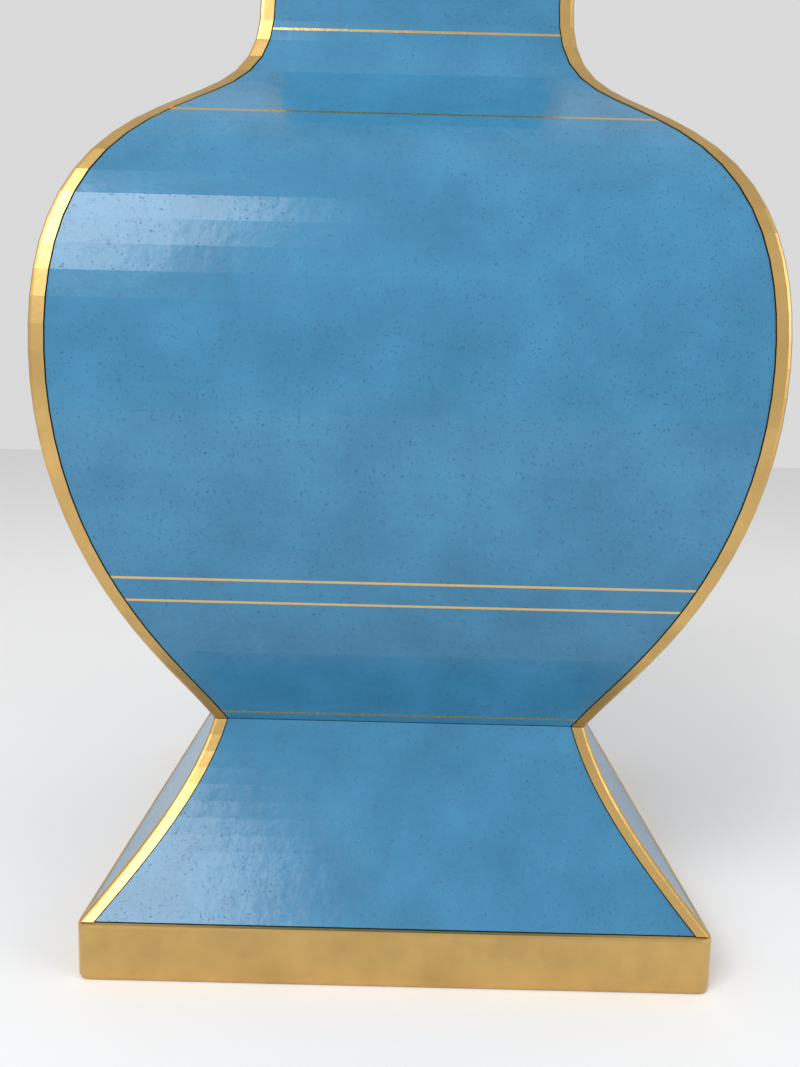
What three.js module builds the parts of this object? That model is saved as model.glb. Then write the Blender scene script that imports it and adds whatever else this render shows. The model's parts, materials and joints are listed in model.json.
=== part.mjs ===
// Square baluster vase in cloisonne enamel on copper.
// Each side is one hammered copper plate from waist to mouth and one from foot to waist, bent in
// one direction only. The plates are mitred at the corners, carry a coat of enamel outside, and
// are covered along each corner by a gilt bead. A gilt rim finishes the foot and the mouth.
// Millimetres, +Z up, origin on the table under the middle of the foot.
import * as THREE from "three";

// Outline of a side: half-widths of the square section, and heights above the table
const FOOT_RIM_HALF = 105.5;
const FOOT_RIM_HEIGHT = 20;
const SKIRT_HALF = 104;
const WAIST_HALF = 67;
const WAIST_HEIGHT = 78;
const BELLY_HALF = 112;
const BELLY_HEIGHT = 205;
const SHOULDER_HALF = 75;
const SHOULDER_HEIGHT = 288;
const NECK_HALF = 53;
const NECK_HEIGHT = 327;
const MOUTH_HALF = 62;
const MOUTH_HEIGHT = 398;

// Lean of the outline away from upright at its joints, in degrees
const SKIRT_FOOT_LEAN = 43;
const SKIRT_TOP_LEAN = 15;
const BELLY_FOOT_LEAN = 28;
const SHOULDER_LEAN = 51.5;
const MOUTH_LEAN = 14;

// How far each joint's direction is held along the outline
const SKIRT_FOOT_PULL = 22;
const SKIRT_TOP_PULL = 24;
const BELLY_FOOT_PULL = 25;
const BELLY_LOWER_PULL = 66;
const BELLY_UPPER_PULL = 51;
const SHOULDER_LOWER_PULL = 24;
const SHOULDER_UPPER_PULL = 16;
const NECK_LOWER_PULL = 22;
const NECK_UPPER_PULL = 25;
const MOUTH_PULL = 20;

// Thicknesses
const ENAMEL = 1.2;
const COPPER = 1.4;
const SEAT_GAP = 0.3;

// Gilt corner bead: an angle strip with a rounded outer edge
const BEAD_LEG = 4.6;
const BEAD_PROUD = 0.4;
const BEAD_ROUND = 1.5;

// Gilt foot rim: a deep band with a flange under the skirt and a ledge over the base plate
const FOOT_RIM_WALL = 4;
const FOOT_RIM_CORNER = 4;
const FOOT_RIM_EDGE = 1.2;
const FOOT_FLANGE_WIDTH = 8;
const FOOT_FLANGE = 2.6;
const FOOT_LEDGE_WIDTH = 3;
const FOOT_LEDGE = 1.6;
const BASE_PLATE = 1.6;
const BASE_RECESS = 3.2;

// Gilt mouth rim: a turned-out band on top of the plates
const MOUTH_RIM_HEIGHT = 12;
const MOUTH_RIM_OVERHANG = 1.4;
const MOUTH_RIM_CORNER = 2.6;
const MOUTH_RIM_EDGE = 1.6;
const MOUTH_RIM_INSET = 0.6;

// Waist: a collar brazed inside the joint, with the floor of the vessel on its flange
const COLLAR_HEIGHT = 20;
const COLLAR_WALL = 1.6;
const COLLAR_FLANGE = 6;
const COLLAR_CORNER = 1.6;
const FLOOR_PLATE = 1.6;

// Smoothness of the curves
const SKIRT_STEPS = 12;
const BELLY_STEPS = 16;
const SHOULDER_STEPS = 12;
const NECK_STEPS = 7;
const MOUTH_STEPS = 6;
const BEAD_STEPS = 3;
const CORNER_STEPS = 4;
const EDGE_STEPS = 2;
const SMALLEST_CORNER = 0.8;

const SIDES = ["front", "right", "back", "left"];
const QUARTER_TURN = Math.PI / 2;

const gilt = new THREE.MeshStandardMaterial({ color: 0xc9963f, roughness: 0.34, metalness: 1 });
const copper = new THREE.MeshStandardMaterial({ color: 0xa9693c, roughness: 0.5, metalness: 1 });
const turquoise = new THREE.MeshStandardMaterial({ color: 0x3f7fae, roughness: 0.22, metalness: 0 });

// A stretch of the outline between two points. A lean is the direction there, away from upright.
function stretch(start, startLean, startPull, end, endLean, endPull) {
  const along = (lean, pull) => new THREE.Vector2(Math.sin(lean), Math.cos(lean)).multiplyScalar(pull);
  const from = new THREE.Vector2(...start);
  const to = new THREE.Vector2(...end);
  const rise = along(THREE.MathUtils.degToRad(startLean), startPull);
  const fall = along(THREE.MathUtils.degToRad(endLean), endPull);
  return new THREE.CubicBezierCurve(from, from.clone().add(rise), to.clone().sub(fall), to);
}

const skirtOutline = [
  {
    curve: stretch(
      [SKIRT_HALF, FOOT_RIM_HEIGHT + SEAT_GAP], -SKIRT_FOOT_LEAN, SKIRT_FOOT_PULL,
      [WAIST_HALF, WAIST_HEIGHT - SEAT_GAP / 2], -SKIRT_TOP_LEAN, SKIRT_TOP_PULL,
    ),
    steps: SKIRT_STEPS,
  },
];

const bodyOutline = [
  {
    curve: stretch(
      [WAIST_HALF, WAIST_HEIGHT + SEAT_GAP / 2], BELLY_FOOT_LEAN, BELLY_FOOT_PULL,
      [BELLY_HALF, BELLY_HEIGHT], 0, BELLY_LOWER_PULL,
    ),
    steps: BELLY_STEPS,
  },
  {
    curve: stretch(
      [BELLY_HALF, BELLY_HEIGHT], 0, BELLY_UPPER_PULL,
      [SHOULDER_HALF, SHOULDER_HEIGHT], -SHOULDER_LEAN, SHOULDER_LOWER_PULL,
    ),
    steps: SHOULDER_STEPS,
  },
  {
    curve: stretch(
      [SHOULDER_HALF, SHOULDER_HEIGHT], -SHOULDER_LEAN, SHOULDER_UPPER_PULL,
      [NECK_HALF, NECK_HEIGHT], 0, NECK_LOWER_PULL,
    ),
    steps: NECK_STEPS,
  },
  {
    curve: stretch(
      [NECK_HALF, NECK_HEIGHT], 0, NECK_UPPER_PULL,
      [MOUTH_HALF, MOUTH_HEIGHT], MOUTH_LEAN, MOUTH_PULL,
    ),
    steps: MOUTH_STEPS,
  },
];

// Points up an outline with their outward normals. Both ends are cut off level.
function pointsUp(outline) {
  const points = [];
  outline.forEach(({ curve, steps }, index) => {
    for (let i = index === 0 ? 0 : 1; i <= steps; i++) {
      const at = curve.getPointAt(i / steps);
      const tangent = curve.getTangentAt(i / steps);
      points.push({ half: at.x, z: at.y, outX: tangent.y, outZ: -tangent.x, level: false });
    }
  });
  points[0].level = true;
  points[points.length - 1].level = true;
  return points;
}

// An outline point moved outwards by a distance, or inwards by a negative one. Its foot is the
// half-width of the outline straight below it, from which the edges beside the beads are measured.
function moved(point, distance) {
  const { half, z, outX, outZ } = point;
  if (!point.level) return { half: half + distance * outX, z: z + distance * outZ, foot: half };
  return { half: half + distance / outX, z, foot: half + (distance * outZ * outZ) / outX };
}

// A closed body through rings of points, with flat ends or joined end to end
function loft(rings, joined) {
  const count = rings[0].length;
  const positions = rings.flat().flatMap((p) => [p.x, p.y, p.z]);
  const index = [];
  const spans = joined ? rings.length : rings.length - 1;
  for (let r = 0; r < spans; r++) {
    const here = r * count;
    const next = ((r + 1) % rings.length) * count;
    for (let i = 0; i < count; i++) {
      const j = (i + 1) % count;
      index.push(here + i, here + j, next + j, here + i, next + j, next + i);
    }
  }
  if (!joined) {
    const last = (rings.length - 1) * count;
    const cap = (ring) => THREE.ShapeUtils.triangulateShape(ring.map((p) => new THREE.Vector2(p.x, p.y)), []);
    const turned = signedArea(rings[0]) < 0;
    for (const [a, b, c] of cap(rings[0])) index.push(...(turned ? [a, b, c] : [a, c, b]));
    for (const [a, b, c] of cap(rings[rings.length - 1])) {
      index.push(...(turned ? [last + a, last + c, last + b] : [last + a, last + b, last + c]));
    }
  }
  const geometry = new THREE.BufferGeometry();
  geometry.setAttribute("position", new THREE.Float32BufferAttribute(positions, 3));
  geometry.setIndex(volumeOf(positions, index) < 0 ? turnedRound(index) : index);
  geometry.computeVertexNormals();
  return geometry;
}

// Six times the volume inside a closed surface: negative where its faces point inwards
function volumeOf(positions, index) {
  const corner = (i) => new THREE.Vector3(...positions.slice(3 * i, 3 * i + 3));
  let total = 0;
  for (let i = 0; i < index.length; i += 3) {
    total += corner(index[i]).dot(corner(index[i + 1]).cross(corner(index[i + 2])));
  }
  return total;
}

function turnedRound(index) {
  return index.map((_, i) => index[i - (i % 3) + [0, 2, 1][i % 3]]);
}

function signedArea(ring) {
  return THREE.ShapeUtils.area(ring.map((p) => new THREE.Vector2(p.x, p.y)));
}

function named(name, geometry, material) {
  const mesh = new THREE.Mesh(geometry, material.clone());
  mesh.name = name;
  return mesh;
}

// Depths below the face of the enamel
const COPPER_FACE = -(ENAMEL + SEAT_GAP);
const COPPER_BACK = COPPER_FACE - COPPER;

// One side's copper plate, mitred at both corners with half a seat gap on each side of the joint
function plate(points) {
  const rings = points.map((point) => {
    const face = moved(point, COPPER_FACE);
    const back = moved(point, COPPER_BACK);
    const mitre = SEAT_GAP / 2;
    return [
      { x: -face.half + mitre, y: -face.half, z: face.z },
      { x: face.half - mitre, y: -face.half, z: face.z },
      { x: back.half - mitre, y: -back.half, z: back.z },
      { x: -back.half + mitre, y: -back.half, z: back.z },
    ];
  });
  return loft(rings, false);
}

// One side's coat of enamel, which ends a seat gap short of the corner beads
function enamel(points) {
  const rings = points.map((point) => {
    const face = moved(point, 0);
    const back = moved(point, -ENAMEL);
    const faceEdge = face.foot - BEAD_LEG - SEAT_GAP;
    const backEdge = back.foot - BEAD_LEG - SEAT_GAP;
    return [
      { x: -faceEdge, y: -face.half, z: face.z },
      { x: faceEdge, y: -face.half, z: face.z },
      { x: backEdge, y: -back.half, z: back.z },
      { x: -backEdge, y: -back.half, z: back.z },
    ];
  });
  return loft(rings, false);
}

// The gilt bead over the corner between a side and the next one
function bead(points) {
  const rings = points.map((point) => {
    const face = moved(point, BEAD_PROUD);
    const back = moved(point, -ENAMEL);
    const faceLeg = face.foot - BEAD_LEG;
    const backLeg = back.foot - BEAD_LEG;
    const centre = face.half - BEAD_ROUND;
    const ring = [{ x: faceLeg, y: -face.half, z: face.z }];
    for (let i = 0; i <= BEAD_STEPS; i++) {
      const turn = (QUARTER_TURN * i) / BEAD_STEPS;
      const x = centre + BEAD_ROUND * Math.sin(turn);
      const y = -centre - BEAD_ROUND * Math.cos(turn);
      ring.push({ x, y, z: face.z });
    }
    ring.push({ x: face.half, y: -faceLeg, z: face.z });
    ring.push({ x: back.half, y: -backLeg, z: back.z });
    ring.push({ x: back.half, y: -back.half, z: back.z });
    ring.push({ x: backLeg, y: -back.half, z: back.z });
    return ring;
  });
  return loft(rings, false);
}

// A band round a square with rounded corners. Its section is given by inset and height.
function band(half, corner, section) {
  const rings = [];
  for (let quarter = 0; quarter < SIDES.length; quarter++) {
    const middle = QUARTER_TURN * (quarter + 0.5);
    const signX = Math.sign(Math.cos(middle));
    const signY = Math.sign(Math.sin(middle));
    for (let i = 0; i <= CORNER_STEPS; i++) {
      const turn = QUARTER_TURN * (quarter + i / CORNER_STEPS);
      rings.push(section.map(([inset, z]) => {
        const round = Math.max(corner - inset, SMALLEST_CORNER);
        const centre = half - inset - round;
        return { x: signX * centre + round * Math.cos(turn), y: signY * centre + round * Math.sin(turn), z };
      }));
    }
  }
  return loft(rings, true);
}

// The outer face of a rim's section, from its bottom edge to its top edge, both rounded
function roundedFace(bottom, top, round) {
  const face = [];
  for (let i = 0; i <= EDGE_STEPS; i++) {
    const turn = (QUARTER_TURN * i) / EDGE_STEPS;
    face.push([round * (1 - Math.sin(turn)), bottom + round * (1 - Math.cos(turn))]);
  }
  for (let i = 0; i <= EDGE_STEPS; i++) {
    const turn = (QUARTER_TURN * i) / EDGE_STEPS;
    face.push([round * (1 - Math.cos(turn)), top - round * (1 - Math.sin(turn))]);
  }
  return face;
}

function footRim() {
  const flangeBottom = FOOT_RIM_HEIGHT - FOOT_FLANGE;
  const ledgeBottom = BASE_RECESS + BASE_PLATE + SEAT_GAP;
  const ledgeTop = ledgeBottom + FOOT_LEDGE;
  const ledgeInset = FOOT_RIM_WALL + FOOT_LEDGE_WIDTH;
  const section = [
    ...roundedFace(0, FOOT_RIM_HEIGHT, FOOT_RIM_EDGE),
    [FOOT_FLANGE_WIDTH, FOOT_RIM_HEIGHT],
    [FOOT_FLANGE_WIDTH, flangeBottom],
    [FOOT_RIM_WALL, flangeBottom],
    [FOOT_RIM_WALL, ledgeTop],
    [ledgeInset, ledgeTop],
    [ledgeInset, ledgeBottom],
    [FOOT_RIM_WALL, ledgeBottom],
    [FOOT_RIM_WALL, 0],
  ];
  return band(FOOT_RIM_HALF, FOOT_RIM_CORNER, section);
}

function mouthRim() {
  const top = bodyPoints[bodyPoints.length - 1];
  const half = moved(top, 0).half + MOUTH_RIM_OVERHANG;
  const inset = half - moved(top, COPPER_BACK).half + MOUTH_RIM_INSET;
  const bottom = MOUTH_HEIGHT + SEAT_GAP;
  const section = [
    ...roundedFace(bottom, bottom + MOUTH_RIM_HEIGHT, MOUTH_RIM_EDGE),
    [inset, bottom + MOUTH_RIM_HEIGHT],
    [inset, bottom],
  ];
  return band(half, MOUTH_RIM_CORNER, section);
}

// A flat square plate with rounded corners
function squarePlate(half, corner, bottom, thickness) {
  const centre = half - corner;
  const shape = new THREE.Shape();
  for (let quarter = 0; quarter < SIDES.length; quarter++) {
    const middle = QUARTER_TURN * (quarter + 0.5);
    const x = Math.sign(Math.cos(middle)) * centre;
    const y = Math.sign(Math.sin(middle)) * centre;
    shape.absarc(x, y, corner, QUARTER_TURN * quarter, QUARTER_TURN * (quarter + 1), false);
  }
  const options = { depth: thickness, bevelEnabled: false, curveSegments: CORNER_STEPS };
  return new THREE.ExtrudeGeometry(shape, options).translate(0, 0, bottom);
}

const skirtPoints = pointsUp(skirtOutline);
const bodyPoints = pointsUp(bodyOutline);

// The collar fits the narrower of the two plates' backs at the waist
const skirtBack = moved(skirtPoints[skirtPoints.length - 1], COPPER_BACK).half;
const bodyBack = moved(bodyPoints[0], COPPER_BACK).half;
const COLLAR_HALF = Math.min(skirtBack, bodyBack) - SEAT_GAP;
const COLLAR_BOTTOM = WAIST_HEIGHT - COLLAR_HEIGHT / 2;

function waistCollar() {
  const section = [
    [0, COLLAR_BOTTOM],
    [0, COLLAR_BOTTOM + COLLAR_HEIGHT],
    [COLLAR_WALL, COLLAR_BOTTOM + COLLAR_HEIGHT],
    [COLLAR_WALL, COLLAR_BOTTOM + COLLAR_WALL],
    [COLLAR_WALL + COLLAR_FLANGE, COLLAR_BOTTOM + COLLAR_WALL],
    [COLLAR_WALL + COLLAR_FLANGE, COLLAR_BOTTOM],
  ];
  return band(COLLAR_HALF, COLLAR_CORNER, section);
}

function waistFloor() {
  const half = COLLAR_HALF - COLLAR_WALL - SEAT_GAP;
  const bottom = COLLAR_BOTTOM + COLLAR_WALL + SEAT_GAP;
  return squarePlate(half, SMALLEST_CORNER, bottom, FLOOR_PLATE);
}

function basePlate() {
  const half = FOOT_RIM_HALF - FOOT_RIM_WALL - SEAT_GAP;
  return squarePlate(half, SMALLEST_CORNER, BASE_RECESS, BASE_PLATE);
}

// The pieces of a storey that repeat on each side, turned about the vase's axis
function storey(prefix, points) {
  const pieces = new THREE.Group();
  SIDES.forEach((side, quarter) => {
    const turned = new THREE.Group();
    turned.rotation.z = QUARTER_TURN * quarter;
    turned.add(named(`${prefix}_plate_${side}`, plate(points), copper));
    turned.add(named(`${prefix}_enamel_${side}`, enamel(points), turquoise));
    const next = SIDES[(quarter + 1) % SIDES.length];
    turned.add(named(`${prefix}_corner_${side}_${next}`, bead(points), gilt));
    pieces.add(turned);
  });
  return pieces;
}

const vase = new THREE.Group();
vase.name = "square_cloisonne_vase";
vase.add(named("foot_rim", footRim(), gilt));
vase.add(named("base_plate", basePlate(), copper));
vase.add(storey("foot", skirtPoints));
vase.add(named("waist_collar", waistCollar(), copper));
vase.add(named("waist_floor", waistFloor(), copper));
vase.add(storey("body", bodyPoints));
vase.add(named("mouth_rim", mouthRim(), gilt));

export default vase;
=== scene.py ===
"""Square cloisonne vase: finishes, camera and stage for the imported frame."""
import json
import math

import bpy
from mathutils import Matrix

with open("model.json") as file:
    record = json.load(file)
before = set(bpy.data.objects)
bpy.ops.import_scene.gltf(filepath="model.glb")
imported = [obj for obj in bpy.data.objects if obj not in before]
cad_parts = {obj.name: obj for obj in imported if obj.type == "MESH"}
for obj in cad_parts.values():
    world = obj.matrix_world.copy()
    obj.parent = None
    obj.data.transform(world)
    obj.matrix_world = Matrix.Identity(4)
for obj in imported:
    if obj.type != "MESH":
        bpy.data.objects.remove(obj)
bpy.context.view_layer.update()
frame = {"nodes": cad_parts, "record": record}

bl_info = {
    "name": "Square cloisonne vase",
    "version": (1, 0, 0),
    "blender": (4, 5, 0),
    "location": "View3D > Sidebar > Vase",
    "description": "Finishes the frame of a square cloisonne vase and sets its stage",
    "category": "Object",
}

WIRE_HEIGHTS = (0.0812, 0.1272, 0.1352, 0.2827, 0.3176)
SCENE_FLOOR = 6.0


class VaseSettings(bpy.types.PropertyGroup):
    """Colours and sizes of the vase's finishes and its camera"""

    enamel: bpy.props.FloatVectorProperty(
        name="Enamel", description="Ground colour", subtype="COLOR", default=(0.05, 0.24, 0.42))
    enamel_deep: bpy.props.FloatVectorProperty(
        name="Deep enamel", description="Darker patches", subtype="COLOR", default=(0.02, 0.13, 0.25))
    gilt: bpy.props.FloatVectorProperty(
        name="Gilt", description="Gilding", subtype="COLOR", default=(0.72, 0.47, 0.17))
    copper: bpy.props.FloatVectorProperty(
        name="Copper", description="Bare copper", subtype="COLOR", default=(0.30, 0.15, 0.08))
    wire: bpy.props.FloatProperty(
        name="Wire", description="Half-width of a border wire", subtype="DISTANCE", default=0.0004)
    distance: bpy.props.FloatProperty(
        name="Distance", description="Camera to the vase's axis", subtype="DISTANCE", default=0.381)
    height: bpy.props.FloatProperty(
        name="Height", description="Camera above the table", subtype="DISTANCE", default=0.19125)
    pitch: bpy.props.FloatProperty(
        name="Pitch", description="Camera looks down", subtype="ANGLE", default=math.radians(8))
    roll: bpy.props.FloatProperty(
        name="Roll", description="Camera's roll", subtype="ANGLE", default=math.radians(1.4))


class Graph:
    """The node tree of one new material"""

    def __init__(self, name):
        self.material = bpy.data.materials.new(name)
        self.material.use_nodes = True
        self.tree = self.material.node_tree
        self.shader = self.tree.nodes["Principled BSDF"]

    def node(self, kind, settings=None, inputs=None):
        made = self.tree.nodes.new(kind)
        for key, value in (settings or {}).items():
            setattr(made, key, value)
        for key, value in (inputs or {}).items():
            self.put(made.inputs[key], value)
        return made

    def put(self, socket, value):
        if isinstance(value, Value):
            value = value.socket
        if isinstance(value, bpy.types.NodeSocket):
            self.tree.links.new(value, socket)
        else:
            socket.default_value = value


class Value:
    """A number in a material, with arithmetic"""

    def __init__(self, graph, socket):
        self.graph = graph
        self.socket = socket

    def maths(self, operation, *values):
        made = self.graph.node("ShaderNodeMath", {"operation": operation}, dict(enumerate(values)))
        return Value(self.graph, made.outputs[0])

    def __sub__(self, other):
        return self.maths("SUBTRACT", self, other)

    def __mul__(self, other):
        return self.maths("MULTIPLY", self, other)

    def __add__(self, other):
        return self.maths("ADD", self, other)

    def below(self, other):
        return self.maths("LESS_THAN", self, other)

    def size(self):
        return self.maths("ABSOLUTE", self)


def noise(graph, scale, detail=3.0):
    place = graph.node("ShaderNodeTexCoord").outputs["Object"]
    made = graph.node("ShaderNodeTexNoise", None, {"Vector": place, "Scale": scale, "Detail": detail})
    return Value(graph, made.outputs["Fac"])


def mixed(graph, factor, first, second):
    made = graph.node("ShaderNodeMix", {"data_type": "RGBA"}, {0: factor, 6: first, 7: second})
    return made.outputs[2]


def rgba(colour, gain=1.0):
    return (*[c * gain for c in colour], 1.0)


def bumped(graph, height, depth):
    bump = graph.node("ShaderNodeBump", None, {"Strength": 0.4, "Distance": depth, "Height": height})
    graph.put(graph.shader.inputs["Normal"], bump.outputs["Normal"])


def enamel_material(settings):
    """Polished enamel with dark pits and the gilt wires that border its zones"""
    graph = Graph("enamel")
    place = graph.node("ShaderNodeTexCoord").outputs["Object"]
    height = Value(graph, graph.node("ShaderNodeSeparateXYZ", None, {0: place}).outputs["Z"])
    wire = None
    for level in WIRE_HEIGHTS:
        line = (height - level).size().below(settings.wire)
        wire = line if wire is None else wire + line
    pits = noise(graph, 1400.0).below(0.36)
    ground = mixed(graph, noise(graph, 45.0), rgba(settings.enamel), rgba(settings.enamel_deep))
    pitted = mixed(graph, pits * 0.6, ground, rgba(settings.enamel_deep, 0.4))
    shader = graph.shader.inputs
    graph.put(shader["Base Color"], mixed(graph, wire, pitted, rgba(settings.gilt)))
    graph.put(shader["Metallic"], wire)
    graph.put(shader["Roughness"], pits * 0.25 + 0.2)
    bumped(graph, noise(graph, 160.0), 0.0003)
    return graph.material


def metal_material(name, colour, roughness):
    """Brushed metal with darker patina"""
    graph = Graph(name)
    patina = noise(graph, 70.0)
    shader = graph.shader.inputs
    graph.put(shader["Base Color"], mixed(graph, patina, rgba(colour), rgba(colour, 0.6)))
    graph.put(shader["Roughness"], patina * 0.2 + roughness)
    graph.put(shader["Metallic"], 1.0)
    bumped(graph, noise(graph, 500.0), 0.0001)
    return graph.material


class VASE_OT_finish(bpy.types.Operator):
    """Give every piece of the frame its enamel, gilt or copper"""

    bl_idname = "vase.finish"
    bl_label = "Finish the pieces"

    def execute(self, context):
        settings = context.scene.vase
        finishes = {
            "enamel": enamel_material(settings),
            "gilt": metal_material("gilt", settings.gilt, 0.26),
            "copper": metal_material("copper", settings.copper, 0.4),
        }
        for part in frame["record"]["subparts"]:
            piece = frame["nodes"][part["node"]]
            piece.data.materials.clear()
            piece.data.materials.append(finishes[part["material_slot"]])
        return {"FINISHED"}


class VASE_OT_stage(bpy.types.Operator):
    """Set the floor, the lights and the camera"""

    bl_idname = "vase.stage"
    bl_label = "Set the stage"

    def execute(self, context):
        self.floor()
        self.lights(context)
        self.camera(context)
        context.scene.view_settings.view_transform = "Standard"
        return {"FINISHED"}

    def floor(self):
        bpy.ops.mesh.primitive_plane_add(size=SCENE_FLOOR)
        floor = bpy.context.object
        floor.name = "floor"
        graph = Graph("floor")
        graph.put(graph.shader.inputs["Base Color"], (0.85, 0.85, 0.85, 1.0))
        graph.put(graph.shader.inputs["Roughness"], 0.9)
        floor.data.materials.append(graph.material)

    def lights(self, context):
        world = bpy.data.worlds.new("studio")
        world.use_nodes = True
        world.node_tree.nodes["Background"].inputs["Color"].default_value = (1, 1, 1, 1)
        world.node_tree.nodes["Background"].inputs["Strength"].default_value = 0.7
        context.scene.world = world
        for name, place, power in (("key", (-0.7, -1.0, 1.1), 14), ("fill", (1.1, -0.6, 0.6), 5)):
            light = bpy.data.lights.new(name, "AREA")
            light.energy = power
            light.size = 0.8
            lamp = bpy.data.objects.new(name, light)
            lamp.location = place
            lamp.rotation_euler = (-lamp.location).to_track_quat("-Z", "Y").to_euler()
            context.scene.collection.objects.link(lamp)

    def camera(self, context):
        settings = context.scene.vase
        camera = bpy.data.cameras.new("camera")
        camera.sensor_width = 36
        camera.lens = 30.4
        holder = bpy.data.objects.new("camera", camera)
        place = Matrix.Translation((-0.0015, -settings.distance, settings.height))
        tilt = Matrix.Rotation(math.pi / 2 - settings.pitch, 4, "X")
        holder.matrix_world = place @ tilt @ Matrix.Rotation(settings.roll, 4, "Z")
        context.scene.collection.objects.link(holder)
        context.scene.camera = holder


class VASE_PT_panel(bpy.types.Panel):
    """The vase's settings and steps"""

    bl_label = "Square cloisonne vase"
    bl_space_type = "VIEW_3D"
    bl_region_type = "UI"
    bl_category = "Vase"

    def draw(self, context):
        for name in VaseSettings.__annotations__:
            self.layout.prop(context.scene.vase, name)
        self.layout.operator("vase.finish")
        self.layout.operator("vase.stage")


CLASSES = (VaseSettings, VASE_OT_finish, VASE_OT_stage, VASE_PT_panel)


def register():
    for made in CLASSES:
        bpy.utils.register_class(made)
    bpy.types.Scene.vase = bpy.props.PointerProperty(type=VaseSettings)


def unregister():
    del bpy.types.Scene.vase
    for made in reversed(CLASSES):
        bpy.utils.unregister_class(made)


def main():
    register()
    bpy.ops.vase.finish()
    bpy.ops.vase.stage()


if __name__ == "__main__":
    main()
